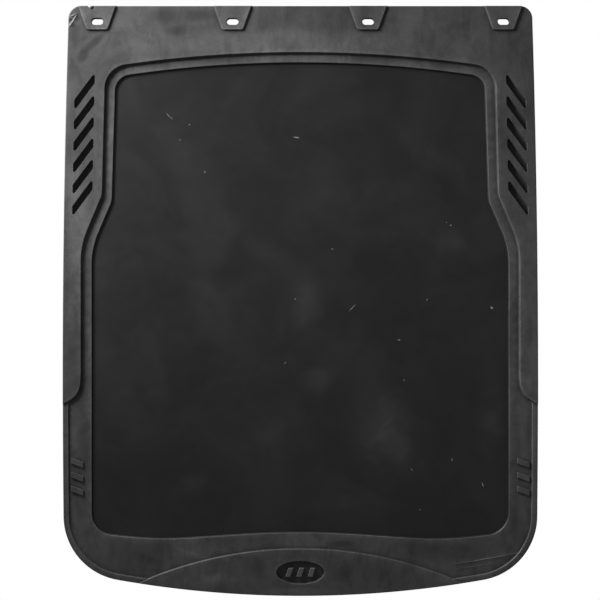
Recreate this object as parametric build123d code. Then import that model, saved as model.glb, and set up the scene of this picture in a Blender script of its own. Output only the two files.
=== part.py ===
from build123d import *
import math
import os

# Moulded rubber mud flap, hanging as it is used: +Z up, the smooth back on the plane Y = 0, the moulded face towards
# -Y, and the origin at the middle of the row of bolt slots, on the back face.
# The moulding is divided where its face changes level and where it bends, so each region is a solid of its own.

os.makedirs("parts", exist_ok=True)

# ---------------------------------------------------------------- driving dimensions, mm and degrees
WIDTH = 650.0            # greatest width, a little below the middle
TOP_Z = 21.5             # top edge above the slot line
TOE_Z = -785.0           # lowest point of the bottom edge
SIDE_R = 16000.0         # the long sides bow outwards very slightly
SIDE_WIDEST_Z = -500.0
TOP_CORNER_R = 17.0
TOE_CORNER_R = 88.8      # big lower corners
TOE_CORNER_Z = -675.6    # height of the lower corners' centres

BACKING_T = 4.0          # sheet that the bare centre panel shows
LEDGE_T = 2.5            # ledge all round the centre panel
YOKE_T = 3.5             # top band and its two arms
RIM_T = 1.7              # bead along the lower edge, on the ledge
TOE_T = 2.1              # raised toe plate, on the ledge
PAD_T = 2.0              # mounting pads, on the top band

PANEL_TOP_Z = -55.8      # centre panel
PANEL_TOP_R = 1640.0
PANEL_CORNER_R = 22.0
PANEL_UPPER_HW = 253.0   # half-widths of the panel at the top, at the waist and below it
PANEL_WAIST_HW = 257.6
PANEL_WAIST_Z = -245.0
PANEL_HIP_HW = 285.0
PANEL_HIP_Z = -309.3
PANEL_HIP_R = 110.0
PANEL_WAIST_R = 28.0
PANEL_FOOT_R = 30.0
PANEL_FOOT_Z = -671.7

WINDOW_TOP_Z = -42.4     # inner edge of the yoke
WINDOW_TOP_R = 1715.0
WINDOW_CORNER_R = 33.0
WINDOW_UPPER_HW = 266.8
WINDOW_WAIST_HW = 270.5
WINDOW_WAIST_Z = -236.8
WINDOW_HIP_HW = 299.4
WINDOW_HIP_Z = -305.6
WINDOW_HIP_R = 110.0
WINDOW_WAIST_R = 28.0
ARM_END_Z = -523.5       # where an arm's rounded end meets the outer edge

RIM_W = 8.0              # width of the lower bead
TOE_ARC_R = 546.7        # upper edge of the toe plate
TOE_ARC_TOP_Z = -720.4
OVAL_A, OVAL_B = 32.4, 15.2   # oval recess through the toe plate and the ledge, half-axes
OVAL_Z = -752.9

PITCH = 185.0            # bolt slots and their pads
SLOT_W = 9.0             # for an M8 bolt
SLOT_L = 16.0
PAD_TOP_HW = 25.9
PAD_FOOT_HW = 14.1
PAD_FOOT_Z = -11.4
PAD_CORNER_R = 4.0

VENT_COUNT = 6           # blind slanted vents in each arm, as deep as the face of the backing sheet
VENT_PITCH = 29.05
VENT_TOP_Z = -70.4       # highest point of the first vent
VENT_IN_X = 281.3        # its inner and outer ends
VENT_OUT_X = 308.6
VENT_H = 13.8            # height of its upright ends
VENT_RISE = 36.6         # climb of its long sides
VENT_STEP_X = 0.58       # each vent stands this much further out than the one above it
VENT_TIP_R = 1.5         # rounding of its two sharp corners and of its two blunt ones
VENT_BEND_R = 4.0

SPLIT_X = 231.0          # bridge and arms of the yoke, and the ledge pieces, meet here

BEND_1_Z = -27.0         # upper bend line, just under the mounting band
BEND_2_Z = -528.0        # lower bend line, just under the ends of the arms
BEND_REAR = 50.0         # furthest swing towards -Y and towards +Y that leaves the halves clear
BEND_FORE = 30.0
CLEAR = 0.06             # running clearance round each bend line

FULL_T = BACKING_T + LEDGE_T + YOKE_T
LEDGE_F = BACKING_T + LEDGE_T


# ---------------------------------------------------------------- helpers
def plate(face, back, front):
    """A drawn face (x to the right, y up) made solid from depth back to depth front, both measured towards -Y."""
    return Rot(90, 0, 0) * (Pos(0, 0, back) * extrude(face, amount=front - back, dir=(0, 0, 1)))


def mirror_x(shape):
    return mirror(shape, about=Plane.YZ)


def solids_of(shape):
    """Only the solids of a cut's result, as one shape."""
    s = shape.solids()
    return s[0] if len(s) == 1 else Compound(children=list(s))


def arc_mid(centre, radius, a0, a1):
    """Start, middle and end of an arc, angles in degrees from +x."""
    out = []
    for a in (a0, (a0 + a1) / 2, a1):
        out.append((centre[0] + radius * math.cos(math.radians(a)), centre[1] + radius * math.sin(math.radians(a))))
    return out


def face_of(edges):
    return make_face(Wire(edges))


def outline(inset=0.0):
    """The flap's silhouette, or the same line moved inwards."""
    side_cx = WIDTH / 2 - SIDE_R
    side_r = SIDE_R - inset
    top = TOP_Z - inset
    # lower corner, tangent to the side
    r = TOE_CORNER_R - inset
    ang = math.degrees(math.asin((TOE_CORNER_Z - SIDE_WIDEST_Z) / (SIDE_R - TOE_CORNER_R)))
    c = (side_cx + (SIDE_R - TOE_CORNER_R) * math.cos(math.radians(ang)), TOE_CORNER_Z)
    # bottom arc, tangent to the lower corner and level at the middle
    dz = TOE_CORNER_Z - TOE_Z
    big = (c[0] ** 2 + dz ** 2 - TOE_CORNER_R ** 2) / (2 * (dz - TOE_CORNER_R))
    bc = (0.0, TOE_Z + big)
    end = math.degrees(math.atan2(c[1] - bc[1], c[0] - bc[0]))
    # upper corner, tangent to the top and to the side
    tr = TOP_CORNER_R - inset if inset < TOP_CORNER_R - 1 else 1.0
    tz = top - tr
    ta = math.degrees(math.asin((tz - SIDE_WIDEST_Z) / (side_r - tr)))
    tc = (side_cx + (side_r - tr) * math.cos(math.radians(ta)), tz)
    pts_side = arc_mid((side_cx, SIDE_WIDEST_Z), side_r, ta, ang)
    pts_top = arc_mid(tc, tr, 90, ta)
    pts_low = arc_mid(c, r, ang, end)
    pts_bot = arc_mid(bc, big - inset, end, -180 - end)
    right = [pts_top, pts_side, pts_low]
    edges = [Edge.make_line((-pts_top[0][0], pts_top[0][1]), pts_top[0])]
    edges += [Edge.make_three_point_arc(*p) for p in right]
    edges.append(Edge.make_three_point_arc(*pts_bot))
    for p in reversed(right):
        q = [(-x, z) for x, z in reversed(p)]
        edges.append(Edge.make_three_point_arc(*q))
    return face_of(edges)


def round_path(points, radii):
    """Edges through the points, each inner corner rounded by its radius (0 leaves it sharp)."""
    edges = []
    here = points[0]
    for i in range(1, len(points) - 1):
        p, r = points[i], radii[i]
        a = (points[i - 1][0] - p[0], points[i - 1][1] - p[1])
        b = (points[i + 1][0] - p[0], points[i + 1][1] - p[1])
        la, lb = math.hypot(*a), math.hypot(*b)
        a, b = (a[0] / la, a[1] / la), (b[0] / lb, b[1] / lb)
        half = math.acos(max(-1, min(1, a[0] * b[0] + a[1] * b[1]))) / 2
        if r <= 0:
            edges.append(Edge.make_line(here, p))
            here = p
            continue
        d = r / math.tan(half)
        s, e = (p[0] + a[0] * d, p[1] + a[1] * d), (p[0] + b[0] * d, p[1] + b[1] * d)
        bis = (a[0] + b[0], a[1] + b[1])
        lbis = math.hypot(*bis)
        m = r / math.sin(half) - r
        mid = (p[0] + bis[0] / lbis * m, p[1] + bis[1] / lbis * m)
        edges.append(Edge.make_line(here, s))
        edges.append(Edge.make_three_point_arc(s, mid, e))
        here = e
    edges.append(Edge.make_line(here, points[-1]))
    return edges


def top_and_side(top_z, top_r, corner_r, upper, waist, hip, foot_z):
    """Right half of a window: crowned top, rounded corner, narrow upper side, waist and wider lower side."""
    (u_hw, u_z), (w_hw, w_z, w_r), (h_hw, h_z, h_r) = upper, waist, hip
    slope = (w_hw - u_hw) / (u_z - w_z)
    # corner circle tangent to the inside of the crowned top and to the upper side
    nx, nz = math.cos(math.atan(slope)), math.sin(math.atan(slope))
    cx = u_hw - corner_r
    for _ in range(40):
        cz = top_z - top_r + math.sqrt((top_r - corner_r) ** 2 - cx ** 2)
        line_x = u_hw + slope * (u_z - cz)
        cx = line_x - corner_r / nx
    cz = top_z - top_r + math.sqrt((top_r - corner_r) ** 2 - cx ** 2)
    a_top = math.degrees(math.atan2(cz - (top_z - top_r), cx))
    a_side = math.degrees(math.atan2(nz, nx))
    top_pts = arc_mid((0, top_z - top_r), top_r, 180 - a_top, a_top)
    corner_pts = arc_mid((cx, cz), corner_r, a_top, a_side)
    path = [corner_pts[2], (w_hw, w_z), (h_hw, h_z), (h_hw, foot_z)]
    return top_pts, corner_pts, round_path(path, [0, w_r, h_r, 0])


def flip(edges):
    """The same edges mirrored to the left side, in the opposite order."""
    return [e.mirror(Plane.YZ) for e in reversed(edges)]


def panel_face():
    top_pts, corner_pts, side = top_and_side(
        PANEL_TOP_Z, PANEL_TOP_R, PANEL_CORNER_R, (PANEL_UPPER_HW, -90.6),
        (PANEL_WAIST_HW, PANEL_WAIST_Z, PANEL_WAIST_R), (PANEL_HIP_HW, PANEL_HIP_Z, PANEL_HIP_R), PANEL_FOOT_Z)
    foot = arc_mid((PANEL_HIP_HW - PANEL_FOOT_R, PANEL_FOOT_Z), PANEL_FOOT_R, 0, -82)
    right = [Edge.make_three_point_arc(*corner_pts)] + side + [Edge.make_three_point_arc(*foot)]
    x, z = foot[2]
    sag = [(x, z), (232.3, -704.4), (190.0, -706.9), (136.7, -704.8), (82.0, -701.2), (0.0, -698.3)]
    pts = sag + [(-a, b) for a, b in reversed(sag[:-1])]
    t = (-math.cos(math.radians(8)), -math.sin(math.radians(8)))
    bottom = Edge.make_spline(pts, tangents=[t, (t[0], -t[1])])
    return face_of([Edge.make_three_point_arc(*top_pts)] + right + [bottom] + flip(right))


def window_face():
    """Everything that the yoke leaves open, down past the bottom edge."""
    top_pts, corner_pts, side = top_and_side(
        WINDOW_TOP_Z, WINDOW_TOP_R, WINDOW_CORNER_R, (WINDOW_UPPER_HW, -89.2),
        (WINDOW_WAIST_HW, WINDOW_WAIST_Z, WINDOW_WAIST_R), (WINDOW_HIP_HW, WINDOW_HIP_Z, WINDOW_HIP_R), -480.0)
    x = WINDOW_HIP_HW
    end = Edge.make_spline(
        [(x, -480.0), (x + 1.2, -497.0), (x + 7.4, -511.3), (x + 17.4, -518.9), (WIDTH / 2 + 5, ARM_END_Z - 1.2)],
        tangents=[(0, -1), (1, -0.25)])
    far = [Edge.make_line((WIDTH / 2 + 5, ARM_END_Z - 1.2), (WIDTH / 2 + 5, -900.0))]
    right = [Edge.make_three_point_arc(*corner_pts)] + side + [end] + far
    bottom = Edge.make_line((WIDTH / 2 + 5, -900.0), (-WIDTH / 2 - 5, -900.0))
    return face_of([Edge.make_three_point_arc(*top_pts)] + right + [bottom] + flip(right))


def box_region(x0, x1, z0, z1):
    return Pos((x0 + x1) / 2, (z0 + z1) / 2) * Rectangle(abs(x1 - x0), abs(z1 - z0))


def vent_face(i):
    """One slanted vent in the right arm: upright ends, long sides that fall outwards, rounded corners."""
    dx = i * VENT_STEP_X
    top = VENT_TOP_Z - i * VENT_PITCH
    p = [(VENT_IN_X + dx, top), (VENT_OUT_X + dx, top - VENT_RISE), (VENT_OUT_X + dx, top - VENT_RISE - VENT_H),
         (VENT_IN_X + dx, top - VENT_H)]
    f = make_face(Polyline(*p, close=True))
    corners = f.vertices().sort_by(Axis.Y)
    f = fillet([corners[0], corners[-1]], VENT_TIP_R)
    blunt = [v for v in f.vertices() if min(math.dist((v.X, v.Y), q) for q in (p[1], p[3])) < 0.01]
    return fillet(blunt, VENT_BEND_R)


def vents():
    out = vent_face(0)
    for i in range(1, VENT_COUNT):
        out = out + vent_face(i)
    return out


def slots():
    out = None
    for x in (-1.5 * PITCH, -0.5 * PITCH, 0.5 * PITCH, 1.5 * PITCH):
        s = Pos(x, 0) * SlotOverall(SLOT_L, SLOT_W)
        out = s if out is None else out + s
    return out


def bend(z, radius, depth):
    """The two shapes that meet at a bend line: the part below keeps a round nose on the line, the part above a groove."""
    wide = WIDTH + 40
    nose = Pos(0, -depth, z) * Rot(0, 90, 0) * Cylinder(radius, wide)
    below = Pos(0, 0, z - 500) * Box(wide, 60, 1000) + nose
    groove = Pos(0, -depth, z) * Rot(0, 90, 0) * Cylinder(radius + CLEAR, wide)
    rear_z = z + radius * math.sin(math.radians(BEND_REAR + 4))
    fore_z = z + radius * math.sin(math.radians(BEND_FORE + 4))
    front = Pos(0, -depth - 30, rear_z + 500) * Box(wide, 60, 1000)
    back = Pos(0, -depth + 30, fore_z + 500) * Box(wide, 60, 1000)
    above = front + back - groove
    return above, below


# ---------------------------------------------------------------- regions
OUT = outline()
PANEL = panel_face()
WINDOW = window_face()
RIM_IN = outline(RIM_W)
VENTS = vents()
SLOTS = slots()
VENTS_BOTH = VENTS + mirror_x(VENTS)
OVAL = Pos(0, OVAL_Z) * Ellipse(OVAL_A, OVAL_B)
TOE_DISC = Pos(0, TOE_ARC_TOP_Z - TOE_ARC_R) * Circle(TOE_ARC_R)

ABOVE_1, BELOW_1 = bend(BEND_1_Z, FULL_T / 2, FULL_T / 2)
LOW_T = LEDGE_F + RIM_T
ABOVE_2, BELOW_2 = bend(BEND_2_Z, LOW_T / 2, LOW_T / 2)

TOP_ZONE = box_region(-400, 400, BEND_1_Z, 60)
MID_ZONE = box_region(-400, 400, BEND_2_Z - 1, BEND_1_Z + 12)
LOW_ZONE = box_region(-400, 400, -900, BEND_2_Z + 12)
MIDDLE = box_region(-SPLIT_X, SPLIT_X, -900, 60)
RIGHT = box_region(SPLIT_X, 400, -900, 60)

parts = {}

# ---------------------------------------------------------------- mounting band, clamped to the vehicle
band = (OUT & TOP_ZONE) - SLOTS
parts["clamp_strip"] = plate(band, 0, FULL_T) & ABOVE_1

for name, x in (("pad_outer_left", -1.5), ("pad_inner_left", -0.5), ("pad_inner_right", 0.5), ("pad_outer_right", 1.5)):
    cx = x * PITCH
    path = [(cx - PAD_TOP_HW, TOP_Z), (cx - PAD_FOOT_HW, PAD_FOOT_Z), (cx + PAD_FOOT_HW, PAD_FOOT_Z), (cx + PAD_TOP_HW, TOP_Z)]
    pad = face_of(round_path(path, [0, PAD_CORNER_R, PAD_CORNER_R, 0]) + [Edge.make_line(path[-1], path[0])])
    pad = plate(pad - SLOTS, FULL_T, FULL_T + PAD_T)
    rim = pad.faces().sort_by(Axis.Y)[0].outer_wire().edges()
    rim = rim.filter_by(lambda e: e.center().Z < TOP_Z - 0.5)
    parts[name] = chamfer(rim, 1.2)

# ---------------------------------------------------------------- upper flap
mid = OUT & MID_ZONE
parts["upper_backing"] = plate(mid, 0, BACKING_T) & BELOW_1 & ABOVE_2
ledge = (mid - PANEL) - VENTS_BOTH
parts["upper_ledge_top"] = plate(ledge & MIDDLE, BACKING_T, LEDGE_F) & BELOW_1 & ABOVE_2
parts["upper_ledge_right"] = plate(ledge & RIGHT, BACKING_T, LEDGE_F) & BELOW_1 & ABOVE_2
parts["upper_ledge_left"] = mirror_x(parts["upper_ledge_right"])
yoke = (mid - WINDOW) - VENTS_BOTH
parts["yoke_bridge"] = plate(yoke & MIDDLE, LEDGE_F, FULL_T) & BELOW_1
parts["yoke_arm_right"] = plate(yoke & RIGHT, LEDGE_F, FULL_T) & BELOW_1
parts["yoke_arm_left"] = mirror_x(parts["yoke_arm_right"])

# ---------------------------------------------------------------- lower flap
low = OUT & LOW_ZONE
parts["lower_backing"] = plate(low, 0, BACKING_T) & BELOW_2
ledge = low - PANEL
parts["lower_ledge_foot"] = plate((ledge & MIDDLE) - OVAL, BACKING_T, LEDGE_F) & BELOW_2
parts["lower_ledge_right"] = plate(ledge & RIGHT, BACKING_T, LEDGE_F) & BELOW_2
parts["lower_ledge_left"] = mirror_x(parts["lower_ledge_right"])

rim_ring = (low - RIM_IN) - TOE_DISC
rim_right = plate(rim_ring & box_region(0, 400, -900, BEND_2_Z + 12), LEDGE_F, LEDGE_F + RIM_T) & BELOW_2
parts["edge_bead_right"] = rim_right
parts["edge_bead_left"] = mirror_x(rim_right)

toe = (OUT & TOE_DISC) - OVAL
parts["toe_plate"] = plate(toe, LEDGE_F, LEDGE_F + TOE_T)


# generic mark: three slanted bars, raised from the floor of the oval and from the ledge on each side
def bar(cx, cz, w, h, lean):
    p = [(cx - w / 2 - lean / 2, cz - h / 2), (cx + w / 2 - lean / 2, cz - h / 2), (cx + w / 2 + lean / 2, cz + h / 2),
         (cx - w / 2 + lean / 2, cz + h / 2)]
    f = make_face(Polyline(*p, close=True))
    return fillet(f.vertices(), 0.9)


def soft_edged(shape, size):
    """The shape with the edges of its front face chamfered."""
    return chamfer(shape.faces().sort_by(Axis.Y)[0].outer_wire().edges(), size)


MARK_T = 4.1
SIDE_MARK_T = 2.0
for i, dx in enumerate((-15.0, 0.0, 15.0)):
    parts[f"toe_mark_bar_{i + 1}"] = soft_edged(plate(bar(dx, OVAL_Z, 7.0, 12.5, 4.0), BACKING_T, BACKING_T + MARK_T), 0.6)
SIDE_MARK_X = 305.0
SIDE_MARK_Z = -622.3
for side, s in (("left", -1), ("right", 1)):
    bars = []
    for dz in (-19.0, 0.0, 19.0):
        b = bar(0, 0, 8.0, 17.0, 6.0)
        b = Pos(s * SIDE_MARK_X, SIDE_MARK_Z + dz) * (Rot(0, 0, 90) * b)
        bars.append(soft_edged(plate(b, LEDGE_F, LEDGE_F + SIDE_MARK_T), 0.6))
    parts[f"side_mark_{side}"] = Compound(children=[x.solids()[0] for x in bars])

# ---------------------------------------------------------------- write one STEP per node
for name, shape in parts.items():
    if not isinstance(shape, (Solid, Compound, Part)):
        shape = solids_of(shape)
    solids = shape.solids()
    shape = solids[0] if len(solids) == 1 else Compound(children=list(solids))
    shape.label = name
    export_step(shape, f"parts/{name}.step")
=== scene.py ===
import bpy
import math
import numpy as np
from mathutils import Vector, Matrix
from mathutils.geometry import delaunay_2d_cdt


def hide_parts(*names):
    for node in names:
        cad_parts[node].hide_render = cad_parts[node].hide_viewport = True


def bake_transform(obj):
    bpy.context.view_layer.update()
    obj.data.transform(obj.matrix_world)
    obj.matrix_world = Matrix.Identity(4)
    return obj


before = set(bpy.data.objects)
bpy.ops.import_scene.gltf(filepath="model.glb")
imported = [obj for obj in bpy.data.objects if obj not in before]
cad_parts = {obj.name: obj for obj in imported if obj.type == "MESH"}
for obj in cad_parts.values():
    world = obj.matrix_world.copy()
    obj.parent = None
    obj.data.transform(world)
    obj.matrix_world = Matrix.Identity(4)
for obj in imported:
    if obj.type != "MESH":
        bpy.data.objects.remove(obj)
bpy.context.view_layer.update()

# =====================================================================================================================
# The flap is one moulding, so its visible skin is one closed surface, cut once across its stiff middle because a piece
# can bend at one joint only. Lengths below are millimetres, x to the right and z up; the face stands at y = -height.
# =====================================================================================================================
WIDTH, TOP_Z, TOE_Z = 650.0, 21.5, -785.0
SIDE_R, SIDE_WIDEST_Z = 16000.0, -500.0
TOP_CORNER_R, TOE_CORNER_R, TOE_CORNER_Z = 17.0, 88.8, -675.6
BACKING, LEDGE, YOKE, BEAD, TOE, PAD = 4.0, 2.5, 3.5, 1.7, 2.1, 2.0
BEAD_W = 8.0
TOE_ARC_R, TOE_ARC_TOP_Z = 546.7, -720.4
OVAL_A, OVAL_B, OVAL_Z = 32.4, 15.2, -752.9
PITCH, SLOT_W, SLOT_L = 185.0, 9.0, 16.0
PAD_TOP_HW, PAD_FOOT_HW, PAD_FOOT_Z, PAD_CORNER_R = 25.9, 14.1, -11.4, 4.0
VENT_COUNT, VENT_PITCH, VENT_TOP_Z = 6, 29.05, -70.4
VENT_IN_X, VENT_OUT_X, VENT_H, VENT_RISE, VENT_STEP_X = 281.3, 308.6, 13.8, 36.6, 0.58
VENT_TIP_R, VENT_BEND_R = 1.5, 4.0
CUT_Z = -380.0
BEND_1 = (-13.0, -41.0)      # the rubber bends between these heights
BEND_2 = (-470.0, -586.0)

EDGE_R = 1.2                 # rounding of the outer edge, front and back
BACK_R = 0.8
SLOT_R = 0.5
W_YOKE, W_LEDGE, W_BEAD, W_TOE, W_PAD, W_VENT, W_OVAL = 2.0, 1.7, 1.5, 1.5, 1.5, 0.9, 1.4
NOTCH = ((-290.6, 21.5), (-289.2, 19.9), (-287.6, 19.6), (-286.4, 21.5))   # a nick in the top edge, over the left pad
PIT = (-283.6, 18.4, 3.0, 1.7, 40.0)                                     # and a gouge beside it: middle, half-axes, slant
# scrapes and a crease that stand a little proud: two ends, half-width, height
STROKES = [((-305.4, 9.0), (-314.6, -5.6), 1.3, 0.55), ((-315.2, 6.2), (-306.3, 10.4), 1.2, 0.5),
           ((-317.2, 3.0), (-312.6, 4.4), 1.0, 0.4), ((211.4, -741.9), (303.0, -726.0), 1.1, 0.30),
           ((216.0, -748.0), (262.0, -741.5), 1.0, 0.14)]
STEP = 3.6


# ---------------------------------------------------------------------------------------------------------------------
# contours
# ---------------------------------------------------------------------------------------------------------------------
def arc(c, r, a0, a1, step=None):
    """Points along an arc, both ends included, angles in degrees."""
    step = step or min(STEP, max(0.45, r * 0.14))
    n = max(2, int(math.ceil(abs(math.radians(a1 - a0)) * r / step)))
    t = np.radians(np.linspace(a0, a1, n + 1))
    return np.c_[c[0] + r * np.cos(t), c[1] + r * np.sin(t)]


def line(p, q, step=None):
    p, q = np.array(p, float), np.array(q, float)
    n = max(1, int(math.ceil(np.linalg.norm(q - p) / (step or STEP))))
    return p + (q - p) * np.linspace(0, 1, n + 1)[:, None]


def join(*runs):
    out = [runs[0]]
    for r in runs[1:]:
        out.append(r[1:] if np.linalg.norm(out[-1][-1] - r[0]) < 1e-6 else r)
    return np.concatenate(out)


def loop(pts):
    """A closed contour, anticlockwise, with no doubled points."""
    keep = np.linalg.norm(pts - np.roll(pts, 1, 0), axis=1) > 1e-5
    pts = pts[keep]
    x, z = pts[:, 0], pts[:, 1]
    if (x * np.roll(z, -1) - np.roll(x, -1) * z).sum() < 0:
        pts = pts[::-1]
    return pts


def mirrored(run):
    return (run * [-1, 1])[::-1]


def spline(pts, t0, t1, step=None):
    """Smooth curve through the points, with end directions t0 and t1."""
    p = np.array(pts, float)
    d = np.linalg.norm(np.diff(p, axis=0), axis=1)
    n = len(p)
    a, rhs = np.zeros((n, n)), np.zeros((n, 2))
    a[0, 0] = a[-1, -1] = 1
    rhs[0], rhs[-1] = np.array(t0) / np.linalg.norm(t0), np.array(t1) / np.linalg.norm(t1)
    for i in range(1, n - 1):
        a[i, i - 1], a[i, i], a[i, i + 1] = d[i], 2 * (d[i] + d[i - 1]), d[i - 1]
        rhs[i] = 3 * (d[i] * (p[i] - p[i - 1]) / d[i - 1] + d[i - 1] * (p[i + 1] - p[i]) / d[i])
    m = np.linalg.solve(a, rhs)
    out = []
    for i in range(n - 1):
        k = max(2, int(math.ceil(d[i] / (step or STEP))))
        t = np.linspace(0, 1, k + 1)[:, None]
        h = d[i]
        out.append((2 * t**3 - 3 * t**2 + 1) * p[i] + (t**3 - 2 * t**2 + t) * h * m[i]
                   + (-2 * t**3 + 3 * t**2) * p[i + 1] + (t**3 - t**2) * h * m[i + 1])
    return join(*out)


def outline():
    side_cx = WIDTH / 2 - SIDE_R
    ang = math.degrees(math.asin((TOE_CORNER_Z - SIDE_WIDEST_Z) / (SIDE_R - TOE_CORNER_R)))
    c = (side_cx + (SIDE_R - TOE_CORNER_R) * math.cos(math.radians(ang)), TOE_CORNER_Z)
    dz = TOE_CORNER_Z - TOE_Z
    big = (c[0] ** 2 + dz**2 - TOE_CORNER_R**2) / (2 * (dz - TOE_CORNER_R))
    bc = (0.0, TOE_Z + big)
    end = math.degrees(math.atan2(c[1] - bc[1], c[0] - bc[0]))
    tz = TOP_Z - TOP_CORNER_R
    ta = math.degrees(math.asin((tz - SIDE_WIDEST_Z) / (SIDE_R - TOP_CORNER_R)))
    tc = (side_cx + (SIDE_R - TOP_CORNER_R) * math.cos(math.radians(ta)), tz)
    cut = math.degrees(math.asin((CUT_Z - SIDE_WIDEST_Z) / SIDE_R))
    right = join(arc(tc, TOP_CORNER_R, 90, ta), arc((side_cx, SIDE_WIDEST_Z), SIDE_R, ta, cut),
                 arc((side_cx, SIDE_WIDEST_Z), SIDE_R, cut, ang), arc(c, TOE_CORNER_R, ang, end))
    bottom = arc(bc, big, end, -180 - end)
    top = join(line((-tc[0], TOP_Z), NOTCH[0]), line(NOTCH[0], NOTCH[1]), line(NOTCH[1], NOTCH[2]), line(NOTCH[2], NOTCH[3]),
               line(NOTCH[3], (tc[0], TOP_Z)))
    return loop(join(top, right, bottom, mirrored(right)))


def rounded(points, radii, step=None):
    """A path through the points, with its inner corners rounded."""
    runs, here = [], np.array(points[0], float)
    for i in range(1, len(points) - 1):
        p, r = np.array(points[i], float), radii[i]
        a, b = points[i - 1] - p, points[i + 1] - p
        a, b = a / np.linalg.norm(a), b / np.linalg.norm(b)
        half = math.acos(float(np.clip(a @ b, -1, 1))) / 2
        d = r / math.tan(half)
        s, e = p + a * d, p + b * d
        bis = (a + b) / np.linalg.norm(a + b)
        c = p + bis * r / math.sin(half)
        a0 = math.degrees(math.atan2(*(s - c)[::-1]))
        a1 = math.degrees(math.atan2(*(e - c)[::-1]))
        a1 = a0 + (a1 - a0 + 180) % 360 - 180
        runs += [line(here, s, step), arc(c, r, a0, a1, step and min(step, r * 0.3))]
        here = e
    runs.append(line(here, points[-1], step))
    return join(*runs)


def top_and_side(top_z, top_r, corner_r, upper, waist, hip, foot_z):
    (u_hw, u_z), (w_hw, w_z, w_r), (h_hw, h_z, h_r) = upper, waist, hip
    slope = (w_hw - u_hw) / (u_z - w_z)
    nx, nz = math.cos(math.atan(slope)), math.sin(math.atan(slope))
    cx = u_hw - corner_r
    for _ in range(40):
        cz = top_z - top_r + math.sqrt((top_r - corner_r) ** 2 - cx**2)
        cx = u_hw + slope * (u_z - cz) - corner_r / nx
    cz = top_z - top_r + math.sqrt((top_r - corner_r) ** 2 - cx**2)
    a_top = math.degrees(math.atan2(cz - (top_z - top_r), cx))
    a_side = math.degrees(math.atan2(nz, nx))
    top = arc((0, top_z - top_r), top_r, 180 - a_top, a_top)
    corner = arc((cx, cz), corner_r, a_top, a_side)
    pts = [corner[-1], np.array((w_hw, w_z)), np.array((h_hw, h_z)), np.array((h_hw, CUT_Z))]
    side = join(rounded(pts, [0, w_r, h_r, 0]), line((h_hw, CUT_Z), (h_hw, foot_z)))
    return top, corner, side


def panel_contour():
    top, corner, side = top_and_side(-55.8, 1640.0, 22.0, (253.0, -90.6), (257.6, -245.0, 28.0), (285.0, -309.3, 110.0), -671.7)
    foot = arc((285.0 - 30.0, -671.7), 30.0, 0, -82)
    right = join(corner, side, foot)
    x, z = foot[-1]
    sag = [(x, z), (232.3, -704.4), (190.0, -706.9), (136.7, -704.8), (82.0, -701.2), (0.0, -698.3)]
    pts = sag + [(-a, b) for a, b in reversed(sag[:-1])]
    t = (-math.cos(math.radians(8)), -math.sin(math.radians(8)))
    return loop(join(top, right, spline(pts, t, (t[0], -t[1])), mirrored(right)))


def window_contour():
    top, corner, side = top_and_side(-42.4, 1715.0, 33.0, (266.8, -89.2), (270.5, -236.8, 28.0), (299.4, -305.6, 110.0), -480.0)
    x, e = 299.4, WIDTH / 2 + 5
    end = spline([(x, -480.0), (x + 1.2, -497.0), (x + 7.4, -511.3), (x + 17.4, -518.9), (e, -524.7)], (0, -1), (1, -0.25), 2.0)
    right = join(corner, side, end, line((e, -524.7), (e, -900.0), 60))
    return loop(join(top, right, line((e, -900.0), (-e, -900.0), 60), mirrored(right)))


def vent_contour(i):
    dx, top = i * VENT_STEP_X, VENT_TOP_Z - i * VENT_PITCH
    p = [(VENT_IN_X + dx, top), (VENT_OUT_X + dx, top - VENT_RISE), (VENT_OUT_X + dx, top - VENT_RISE - VENT_H),
         (VENT_IN_X + dx, top - VENT_H)]
    p = [np.array(q) for q in p]
    mid = (p[0] + p[1]) / 2
    return loop(rounded([mid, p[1], p[2], p[3], p[0], mid], [0, VENT_BEND_R, VENT_TIP_R, VENT_BEND_R, VENT_TIP_R, 0], 2.2))


def slot_contour(x):
    r, h = SLOT_W / 2, SLOT_L / 2 - SLOT_W / 2
    return loop(join(arc((x + h, 0), r, -90, 90, 0.8), line((x + h, r), (x - h, r), 2.0), arc((x - h, 0), r, 90, 270, 0.8),
                     line((x - h, -r), (x + h, -r), 2.0)))


def pad_contour(x):
    """The pad's sides run on a little past the top edge, so that only its real sides make a step."""
    k = (PAD_TOP_HW - PAD_FOOT_HW) / (TOP_Z - PAD_FOOT_Z)
    up = 12.0
    pts = [np.array(q) for q in ((x - PAD_TOP_HW - k * up, TOP_Z + up), (x - PAD_FOOT_HW, PAD_FOOT_Z),
                                 (x + PAD_FOOT_HW, PAD_FOOT_Z), (x + PAD_TOP_HW + k * up, TOP_Z + up))]
    return loop(join(rounded(pts, [0, PAD_CORNER_R, PAD_CORNER_R, 0], 2.6), line(pts[3], pts[0], 12.0)))


OUT, PANEL, WINDOW = outline(), panel_contour(), window_contour()
RIGHT_VENTS = [vent_contour(i) for i in range(VENT_COUNT)]
VENTS = RIGHT_VENTS + [loop(v * [-1, 1]) for v in RIGHT_VENTS]
SLOT_X = [k * PITCH for k in (-1.5, -0.5, 0.5, 1.5)]
SLOTS = [slot_contour(x) for x in SLOT_X]
PADS = [pad_contour(x) for x in SLOT_X]
t = np.linspace(0, 2 * math.pi, 97)[:-1]
OVAL = loop(np.c_[OVAL_A * np.cos(t), OVAL_Z + OVAL_B * np.sin(t)])


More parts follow.
